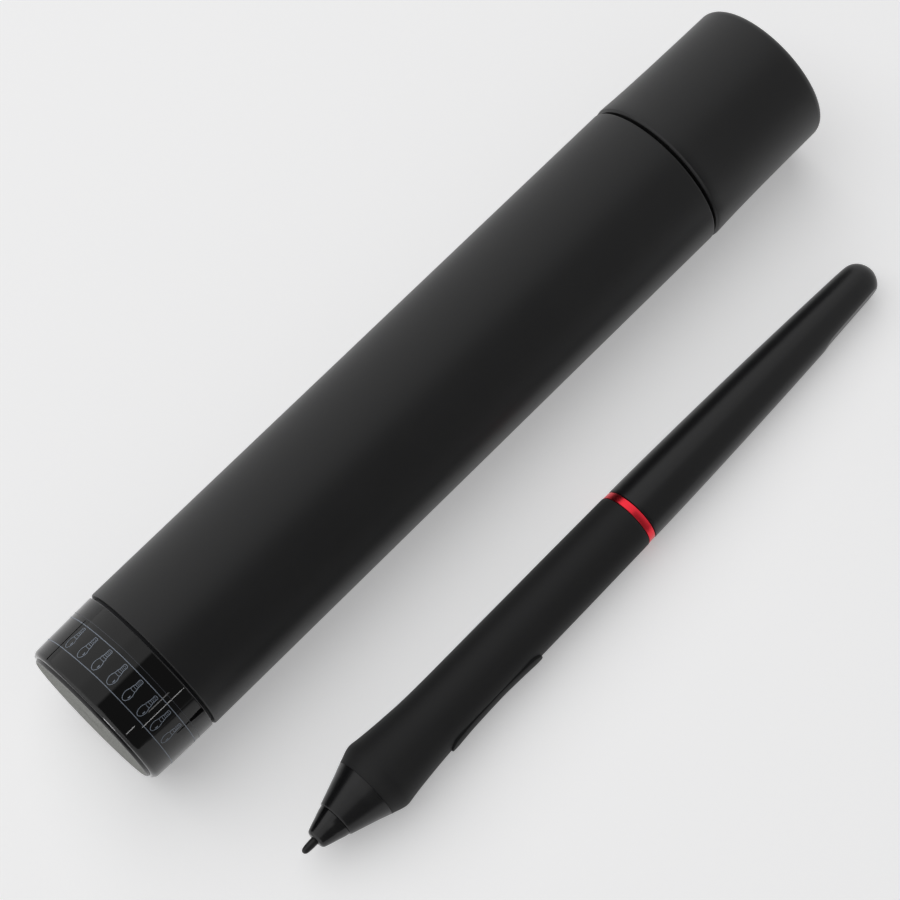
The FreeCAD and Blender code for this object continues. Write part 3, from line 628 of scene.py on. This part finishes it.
icons = []
for i in range(8):
    icons += pictogram(math.radians(-36.6 + 13.97 * i))
joined("nib_icons_print", icons, print_mat, "nib_store")
arc_lo, arc_hi = math.radians(-179.9) * 16.70, math.radians(179.9) * 16.70
full_turn = [(0.0, u) for u in np.linspace(arc_lo, arc_hi, 240, endpoint=False)]


def hoop(x, width):
    return ribbon([(x, u) for _, u in full_turn], width, True)


joined("frame_lines_print", [hoop(-10.95, 0.155), hoop(-5.05, 0.155)], print_mat, "nib_store")
# a faint hoop beside the frame line at -5.05: a painted reflection of that line in the clear ring
joined("frame_line_painted_reflection", [hoop(-3.92, 0.10)], print_reflection_mat, "nib_store")
seams = [ribbon([(-14.45, math.radians(-42.3) * 16.7), (-4.3, math.radians(-42.3) * 16.7)], 0.19),
         ribbon([(-10.9, math.radians(101.0) * 16.7), (-5.1, math.radians(101.0) * 16.7)], 0.12)]
joined("seam_line_print", seams, dark_line_mat, "nib_store")


def painted_glint_bead(name, x, r, rad, mat):
    """A hair-thin hoop at a corner, coloured with a painted highlight right round it."""
    prof = [(x - rad * math.cos(a), r + rad * math.sin(a)) for a in np.arange(8) * math.pi / 4 + math.pi / 8]
    ob = lathe(name, prof, in_case, 192)
    return dress(ob, mat, "nib_store", None)


# painted highlights along the ring's end corner and its top edge
painted_glint_bead("ring_end_painted_glint", -15.25, 15.87, 0.085, painted_glint_mat)
painted_glint_bead("ring_top_painted_glint", -0.50, 16.66, 0.055, painted_glint_dim_mat)

# --------------------------------------------------------------------- pen
tip_curve = curve([(3.40, 2.25), (4.0, 2.47), (4.5, 2.64), (5.0, 2.80), (6.0, 3.12), (7.0, 3.47), (7.6, 3.64), (8.22, 3.78)], 0.25)
lip = arc_points((2.77, 1.20), (2.90, 1.86), (3.40, 2.25), 10)
prof = [(2.83, 1.03), (2.78, 1.10)] + lip[:-1] + tip_curve + [(8.28, 3.77), (8.3, 3.73), (8.3, 3.0), (11.0, 3.0), (11.0, 1.9), (5.5, 1.9), (5.1, 0.98), (2.97, 0.98)]
nose_tip = lathe("nose_tip_gloss", prof, in_pen, 128)
dress(nose_tip, nose_gloss, "pen", "nose_tip")

cone_curve = curve([(8.50, 4.08), (9.0, 4.25), (10.0, 4.59), (11.0, 4.93), (12.0, 5.27), (13.0, 5.61), (14.0, 5.95), (15.0, 6.32), (16.0, 6.69), (16.54, 6.885)], 0.4)
prof = [(8.38, 3.02), (8.38, 3.94), (8.41, 4.00), (8.45, 4.045)] + cone_curve + [(16.56, 6.87), (16.56, 4.62), (13.0, 4.62), (13.0, 3.6), (11.2, 3.6), (11.2, 3.02)]
nose_cone = lathe("nose_cone_satin", prof, in_pen, 144)
dress(nose_cone, cone_satin, "pen", "nose_cone")

GRIP = [(16.70, 6.95), (17.3, 7.13), (18.0, 7.39), (18.8, 7.66), (19.5, 7.85), (20.2, 7.92), (20.9, 7.86), (22.0, 7.70), (24.0, 7.47),
        (26.0, 7.28), (28.0, 7.11), (30.0, 6.96), (32.0, 6.83), (34.0, 6.73), (37.0, 6.66), (40.0, 6.62), (46.0, 6.59),
        (52.0, 6.57), (58.0, 6.55), (64.0, 6.52), (70.0, 6.50), (76.0, 6.47), (82.0, 6.43), (88.0, 6.39), (90.08, 6.37)]
grip_c = np.array(curve(GRIP, 0.25))


def grip_r(s):
    return np.interp(s, grip_c[:, 0], grip_c[:, 1])


def capsule_snap(s, z, s0, s1, hw):
    """Nearest point of a round-ended slot's outline."""
    a, b = s0 + hw, s1 - hw
    out_s, out_z = s.copy(), z.copy()
    for i in range(len(s)):
        c = min(max(s[i], a), b)
        ds, dz = s[i] - c, z[i]
        if a < s[i] < b:
            out_z[i] = math.copysign(hw, z[i])
        else:
            l = math.hypot(ds, dz) or 1e-9
            out_s[i], out_z[i] = c + ds / l * hw, dz / l * hw
    return out_s, out_z


def grip_mesh():
    """The rubber sleeve: a turned skin and bore with a round-ended opening for the rocker on the -Y side."""
    s0, s1, hw, inner = 33.1, 58.8, 2.5, 5.62
    body = np.unique(np.round(np.concatenate([np.arange(20.2, 31.0, 0.5), np.arange(31.0, 61.6, 0.28), np.arange(61.6, 89.9, 1.2)]), 4))
    rows = np.concatenate([[16.6, 16.615, 16.70], np.arange(17.0, 20.2, 0.32), body, [90.08, 90.18, 90.2]])
    fine = np.arange(-34, 34.01, 2.0)
    rest = np.arange(34 + 3.0, 360 - 34 - 0.5, 3.0)
    cols = np.radians(np.concatenate([fine, rest]))          # 0 is towards -Y
    nr, nc = len(rows), len(cols)
    S, T = np.meshgrid(rows, cols, indexing="ij")
    r = grip_r(S)
    r[0, :], r[1, :] = 6.87, 6.92
    r[-2, :], r[-1, :] = 6.33, 6.25
    Z = r * np.sin(T)
    front = np.cos(T) > 0.3
    idx = lambda i, j: i * nc + (j % nc)
    keep = np.ones((nr - 1, nc), bool)
    for i in range(nr - 1):
        for j in range(nc):
            jj = (j + 1) % nc
            if not (front[i, j] and front[i, jj]):
                continue
            cs = (S[i, j] + S[i + 1, jj]) / 2
            cz = (Z[i, j] + Z[i + 1, jj]) / 2
            c = min(max(cs, s0 + hw), s1 - hw)
            if math.hypot(cs - c, cz) < hw:
                keep[i, j] = False
    used_in = np.zeros(nr * nc, int)
    used_out = np.zeros(nr * nc, int)
    for i in range(nr - 1):
        for j in range(nc):
            for v in (idx(i, j), idx(i + 1, j), idx(i + 1, j + 1), idx(i, j + 1)):
                if keep[i, j]:
                    used_in[v] += 1
                else:
                    used_out[v] += 1
    edge = np.where((used_in > 0) & (used_out > 0))[0]
    Sf, Zf, Tf, rf = S.ravel().copy(), Z.ravel().copy(), T.ravel().copy(), r.ravel().copy()
    es, ezz = capsule_snap(Sf[edge], Zf[edge], s0, s1, hw)
    Sf[edge] = es
    rf[edge] = grip_r(es)
    Tf[edge] = np.arcsin(np.clip(ezz / rf[edge], -1, 1))
    top = np.column_stack([Sf, -rf * np.cos(Tf), rf * np.sin(Tf)])
    zt = rf * np.sin(Tf)
    # the bore's skin: the same grid brought in to the core, keeping z at the opening
    Tb = Tf.copy()
    Tb[edge] = np.arcsin(np.clip(zt[edge] / inner, -1, 1))
    near = (np.abs(Tf) < math.radians(36)) & (Sf > s0 - 4) & (Sf < s1 + 4)
    Tb[near] = np.arcsin(np.clip(zt[near] / inner, -1, 1))
    bore = np.column_stack([Sf, -inner * np.cos(Tb), inner * np.sin(Tb)])
    verts = np.vstack([top, bore])
    off = len(top)
    faces, border = [], {}
    for i in range(nr - 1):
        for j in range(nc):
            if not keep[i, j]:
                continue
            q = (idx(i, j), idx(i + 1, j), idx(i + 1, j + 1), idx(i, j + 1))
            faces.append(q)
            faces.append(tuple(v + off for v in q[::-1]))
            for a, b in zip(q, q[1:] + q[:1]):
                if (b, a) in border:
                    del border[(b, a)]
                else:
                    border[(a, b)] = True
    for a, b in border:
        faces.append((b, a, a + off, b + off))
    return verts, faces


gv, gf = grip_mesh()
grip = new_object("grip_sleeve_rubber", in_pen(gv), gf, 38)
dress(grip, grip_rubber, "pen", "rubber_grip")

prof = fillets([(90.36, 5.22), (90.36, 6.30), (92.0, 6.28), (92.0, 5.22)], {1: 0.12, 2: 0.12}, 4)
red = lathe("red_ring_metal", prof, in_pen, 144)
dress(red, red_mat, "pen", "red_ring")

REAR = [(92.28, 6.31), (94.0, 6.30), (97.0, 6.265), (100.0, 6.215), (104.0, 6.145), (108.0, 6.06), (112.0, 5.965), (116.0, 5.86),
        (120.0, 5.75), (124.0, 5.63), (128.0, 5.51), (132.0, 5.38), (136.0, 5.24), (140.0, 5.09), (144.0, 4.93), (148.0, 4.76),
        (152.0, 4.58), (156.0, 4.40), (159.0, 4.25), (160.6, 4.14), (161.4, 4.02), (162.0, 3.85), (162.5, 3.63), (163.0, 3.30), (163.5, 2.82), (164.0, 2.14), (164.4, 1.35), (164.62, 0.62), (164.7, 0.0)]
rear_curve = curve([p for p in REAR if p[0] < 160.7], 0.6)[:-1] + curve([p for p in REAR if p[0] > 160.5], 0.12)
prof = [(104.3, 0.0), (104.3, 4.82), (92.16, 4.82), (92.16, 6.16), (92.20, 6.26)] + rear_curve[:-1] + [(164.7, 0.0)]


def tail_flat(p):
    """A shallow flat on the switch side that grows towards the tail."""
    lim = np.interp(p[:, 0], [143.0, 147.5, 180.0], [-5.16, -4.42, -2.73])
    lim[p[:, 0] < 143.0] = -99.0
    over = p[:, 1] < lim
    p = p.copy()
    p[over, 1] = lim[over]
    return p


rear = lathe("rear_barrel_satin", prof, in_pen, 160, warp=tail_flat, closed=False, sharp_deg=35)
dress(rear, rear_satin, "pen", "rear_barrel")

ROCK = [(33.3, 6.80), (33.5, 7.02), (34.0, 7.15), (36.0, 7.07), (38.0, 6.93), (40.0, 6.83), (42.0, 6.77), (44.0, 6.72), (46.0, 6.68),
        (48.0, 6.66), (50.0, 6.70), (52.0, 6.77), (54.0, 6.85), (56.0, 6.95), (57.5, 7.01), (58.3, 6.98), (58.6, 6.80)]
rock_c = np.array(curve([(33.3, 7.13), (34.0, 7.15)] + ROCK[3:-2] + [(58.6, 6.99)], 0.3))


def rocker_mesh():
    """The rocker key: a crowned, dished top with a soft edge, straight sides and a flat underside."""
    s0, s1, HW, floor_y, rnd = 33.2, 58.7, 2.42, -5.15, 0.13
    insets = [0.0, 0.01, 0.03, 0.06, 0.09, 0.13, 0.35, 0.7, 1.0, 1.3, 1.6, 1.9, 2.2]
    nstr, narc = 44, 16
    rings, verts = [], []

    def loop(hw):
        a, b = s0 + HW, s1 - HW
        pts = [(a + (b - a) * i / nstr, hw) for i in range(nstr)]
        pts += [(b + hw * math.sin(math.pi * i / narc), hw * math.cos(math.pi * i / narc)) for i in range(narc)]
        pts += [(b - (b - a) * i / nstr, -hw) for i in range(nstr)]
        pts += [(a - hw * math.sin(math.pi * i / narc), -hw * math.cos(math.pi * i / narc)) for i in range(narc)]
        return np.array(pts)

    def add(p, y):
        i = len(verts)
        verts.extend([(a, float(h), b) for (a, b), h in zip(p, y)])
        rings.append(list(range(i, i + len(p))))

    base = loop(HW)
    add(loop(0.02), np.full(len(base), floor_y))
    for hw in (0.8, 1.5):
        add(loop(hw), np.full(len(base), floor_y))
    add(base, np.full(len(base), floor_y))
    for inset in insets:
        p = loop(HW - inset)
        h = np.interp(p[:, 0], rock_c[:, 0], rock_c[:, 1])
        y = np.sqrt(np.maximum(h**2 - p[:, 1] ** 2, 0))
        drop = rnd - math.sqrt(max(rnd**2 - max(rnd - inset, 0) ** 2, 0))
        add(p, -(y - drop))
    n = len(base)
    p = loop(0.0)
    h = np.interp(p[:, 0], rock_c[:, 0], rock_c[:, 1])
    add(p, -h)
    faces = []
    for a, b in zip(rings[:-1], rings[1:]):
        faces += [(a[i], a[(i + 1) % n], b[(i + 1) % n], b[i]) for i in range(n)]
    # the innermost loop of the underside closes on its centre line
    low = rings[0]
    for i in range(nstr):
        j = 2 * nstr + narc - i
        faces.append((low[i], low[i + 1], low[(j - 1) % n], low[j % n]))
    arc1 = list(range(nstr, nstr + narc + 1))
    faces.append(tuple(low[i] for i in arc1))
    arc2 = list(range(2 * nstr + narc, n)) + [0]
    faces.append(tuple(low[i] for i in arc2))
    # the hub that hangs on the pivot pin: a block with a round bore, built as one ring of sections
    count, hub, bore = 32, [], []
    for i in range(count):
        a = 2 * math.pi * (i + 0.5) / count
        dx, dy = math.cos(a), math.sin(a)
        up = 1.05 if dy > 0 else 1.0
        k = min(1.3 / max(abs(dx), 1e-9), abs(up) / max(abs(dy), 1e-9))
        hub.append((PIVOT_S + k * dx, PIVOT_Y + k * dy))
        bore.append((PIVOT_S + 0.55 * dx, PIVOT_Y + 0.55 * dy))
    base_i = len(verts)
    for loop_pts, z in ((hub, -2.0), (hub, 2.0), (bore, 2.0), (bore, -2.0)):
        verts.extend([(a, b, z) for a, b in loop_pts])
    for k in range(4):
        a, b = base_i + k * count, base_i + ((k + 1) % 4) * count
        faces += [(a + i, a + (i + 1) % count, b + (i + 1) % count, b + i) for i in range(count)]
    # a round post under each half
    for s in (37.4, 55.0):
        base_i = len(verts)
        for rad, y in ((0.9, -5.3), (0.9, -3.2), (0.8, -3.1)):
            verts.extend([(s + rad * math.cos(t), y, rad * math.sin(t)) for t in np.arange(24) * math.pi / 12])
        for k in range(2):
            a, b = base_i + k * 24, base_i + (k + 1) * 24
            faces += [(a + i, a + (i + 1) % 24, b + (i + 1) % 24, b + i) for i in range(24)]
        faces += [tuple(base_i + i for i in range(24))[::-1], tuple(base_i + 48 + i for i in range(24))]
    return np.array(verts), faces


rv, rf_ = rocker_mesh()
rocker = new_object("rocker_key_top", in_pen(rv), rf_, 50)
bm = bmesh.new()
bm.from_mesh(rocker.data)
bmesh.ops.remove_doubles(bm, verts=bm.verts, dist=2e-6)
bmesh.ops.recalc_face_normals(bm, faces=bm.faces)
bm.to_mesh(rocker.data)
bm.free()
dress(rocker, rocker_satin, "rocker", "side_rocker")

# ------------------------------------------------------------------ studio
floor_me = bpy.data.meshes.new("floor")
s = 1.6
floor_me.from_pydata([(-s, -s, 0), (s, -s, 0), (s, s, 0), (-s, s, 0)], [], [(0, 1, 2, 3)])
floor = bpy.data.objects.new("floor", floor_me)
bpy.context.scene.collection.objects.link(floor)
floor.location = (0, 0, -0.00005)
fm, nt, b = material("floor_pale")
vec = coords(nt)
grain = noise(nt, vec, 900.0, 3.0, 0.6)
wide = noise(nt, vec, 4.0, 2.0, 0.5)
sep = nt.nodes.new("ShaderNodeSeparateXYZ")
nt.links.new(vec, sep.inputs[0])
# painted light falloff: the floor's colour, and with it its glow, is a little lighter towards +Y and towards -X
painted_falloff = calc(nt, "ADD", ramp(nt, sep.outputs[1], -0.16, 0.16, -0.0256, 0.0256, smooth=False), ramp(nt, sep.outputs[0], -0.2, 0.2, 0.01, -0.01, smooth=False))
pale = calc(nt, "ADD", painted_falloff, calc(nt, "MULTIPLY_ADD", grain, 0.012, calc(nt, "MULTIPLY_ADD", wide, 0.02, 0.872)))
# painted reflection: for reflected rays only, a patch of the floor towards -Y is darkened to a fifth, so the case's
# lower flank shows a dark reflection there
front = calc(nt, "MULTIPLY", ramp(nt, sep.outputs[1], -0.075, -0.10), calc(nt, "MULTIPLY", ramp(nt, sep.outputs[0], -0.075, -0.045), ramp(nt, sep.outputs[0], 0.16, 0.06)))
front = calc(nt, "MULTIPLY", front, nt.nodes.new("ShaderNodeLightPath").outputs["Is Glossy Ray"])
pale = calc(nt, "MULTIPLY", pale, calc(nt, "MULTIPLY_ADD", front, -0.8, 1.0))
tone = nt.nodes.new("ShaderNodeCombineColor")
nt.links.new(pale, tone.inputs[0])
nt.links.new(pale, tone.inputs[1])
nt.links.new(calc(nt, "ADD", pale, 0.004), tone.inputs[2])
nt.links.new(tone.outputs[0], b.inputs["Base Color"])
b.inputs["Roughness"].default_value = 0.85
b.inputs["Specular IOR Level"].default_value = 0.0
# a translucent table top, lit softly from below
nt.links.new(tone.outputs[0], b.inputs["Emission Color"])
b.inputs["Emission Strength"].default_value = 0.385
bump(nt, b, grain, 1.5e-5)
floor.data.materials.append(fm)

world = bpy.data.worlds.new("studio")
bpy.context.scene.world = world
world.use_nodes = True
nt = world.node_tree
for n in list(nt.nodes):
    nt.nodes.remove(n)
wout = nt.nodes.new("ShaderNodeOutputWorld")
bg = nt.nodes.new("ShaderNodeBackground")
nt.links.new(bg.outputs[0], wout.inputs[0])
d = nt.nodes.new("ShaderNodeTexCoord").outputs["Generated"]
sep = nt.nodes.new("ShaderNodeSeparateXYZ")
nt.links.new(d, sep.inputs[0])
dx, dy, dz = sep.outputs
# angle from straight up, positive towards -Y, in degrees
theta = calc(nt, "MULTIPLY", calc(nt, "ARCTAN2", calc(nt, "MULTIPLY", dy, -1.0), dz), 57.29578)
# what the shiny faces see: a tent of pale cloth with the dark opening where the viewer stands
dark = calc(nt, "MULTIPLY", ramp(nt, theta, 4.0, 9.0), ramp(nt, theta, 94.0, 88.0))
dark = calc(nt, "MULTIPLY", dark, ramp(nt, calc(nt, "ABSOLUTE", calc(nt, "SUBTRACT", dx, 0.02)), 0.50, 0.36))
dark = calc(nt, "MULTIPLY", dark, ramp(nt, dx, 0.22, 0.80, 1.0, 0.0, smooth=False))
# the same opening seen in the nose's slanting faces
aside = calc(nt, "MULTIPLY", ramp(nt, theta, 20.0, 30.0), ramp(nt, theta, 91.0, 84.0))
aside = calc(nt, "MULTIPLY", aside, calc(nt, "MULTIPLY", ramp(nt, dx, -0.62, -0.54), ramp(nt, dx, -0.30, -0.38)))
dark = calc(nt, "MAXIMUM", dark, aside)
tent = calc(nt, "ADD", 0.86, calc(nt, "MULTIPLY", ramp(nt, theta, -18.0, -32.0), 0.16))
tent = calc(nt, "MULTIPLY", tent, calc(nt, "MULTIPLY_ADD", dy, 0.10, 1.0))
tent = calc(nt, "MULTIPLY_ADD", ramp(nt, dx, -0.45, -0.85), 0.5, tent)
level = calc(nt, "MULTIPLY", tent, calc(nt, "MULTIPLY_ADD", dark, -0.77, 1.0))
# thin bright strips seen in the opening: centre, half width, the span along X, strength
for mid, half, x0, x1, gain in ((61.0, 0.95, 0.0118, 0.0232, 7.0), (69.8, 0.75, 0.0405, 0.0593, 7.5), (60.0, 1.0, 0.0470, 0.0532, 3.0), (25.0, 4.0, 0.0645, 0.0710, 0.35)):
    streak = ramp(nt, calc(nt, "ABSOLUTE", calc(nt, "SUBTRACT", theta, mid)), half, half * 0.5)
    streak = calc(nt, "MULTIPLY", streak, calc(nt, "MULTIPLY", ramp(nt, dx, x0 - 0.0007, x0), ramp(nt, dx, x1 + 0.0007, x1)))
    level = calc(nt, "MULTIPLY_ADD", streak, gain, level)
# straight past the floor's edge the viewer sees the same pale cloth as the floor
seen = nt.nodes.new("ShaderNodeLightPath").outputs["Is Camera Ray"]
level = calc(nt, "ADD", calc(nt, "MULTIPLY", level, calc(nt, "SUBTRACT", 1.0, seen)), calc(nt, "MULTIPLY", seen, 0.84))
nt.links.new(level, bg.inputs["Strength"])
bg.inputs["Color"].default_value = (1.0, 1.0, 1.0, 1)
world.cycles_visibility.diffuse = False


def soft_sun(name, lean_y, lean_x, spread, power):
    """A broad soft light for the matt faces and the floor; shiny faces see the tent instead."""
    li = bpy.data.lights.new(name, "SUN")
    li.energy = power
    li.angle = math.radians(spread)
    ob = bpy.data.objects.new(name, li)
    bpy.context.scene.collection.objects.link(ob)
    way = Vector((-math.tan(math.radians(lean_x)), -math.tan(math.radians(lean_y)), -1.0))
    ob.location = -way
    ob.rotation_mode = "QUATERNION"
    ob.rotation_quaternion = way.to_track_quat("-Z", "Y")
    ob.visible_glossy = False
    ob.visible_transmission = False
    return ob


soft_sun("soft_key", 28.0, -4.0, 75.0, 1.44)
soft_sun("soft_fill", 0.0, 0.0, 150.0, 0.46)

cam = bpy.data.cameras.new("camera")
cam_ob = bpy.data.objects.new("camera", cam)
bpy.context.scene.collection.objects.link(cam_ob)
cam.sensor_width = 36.0
cam.lens = 2662.12 * 36.0 / 900.0
cam.shift_x, cam.shift_y = -0.00072, 0.00074
cam.clip_start, cam.clip_end = 0.01, 20.0
eye = Vector((-47.93 - 78.35, -125.60 + 17.887, 508.82)) * MM
aim = Vector((73.54 - 78.35, -7.37 + 17.887, 0.0)) * MM
cam_ob.location = eye
cam_ob.rotation_mode = "QUATERNION"
cam_ob.rotation_quaternion = (aim - eye).to_track_quat("-Z", "Y")
bpy.context.scene.camera = cam_ob
bpy.context.scene.view_settings.view_transform = "Standard"
bpy.context.scene.view_settings.look = "None"

bpy.context.view_layer.update()
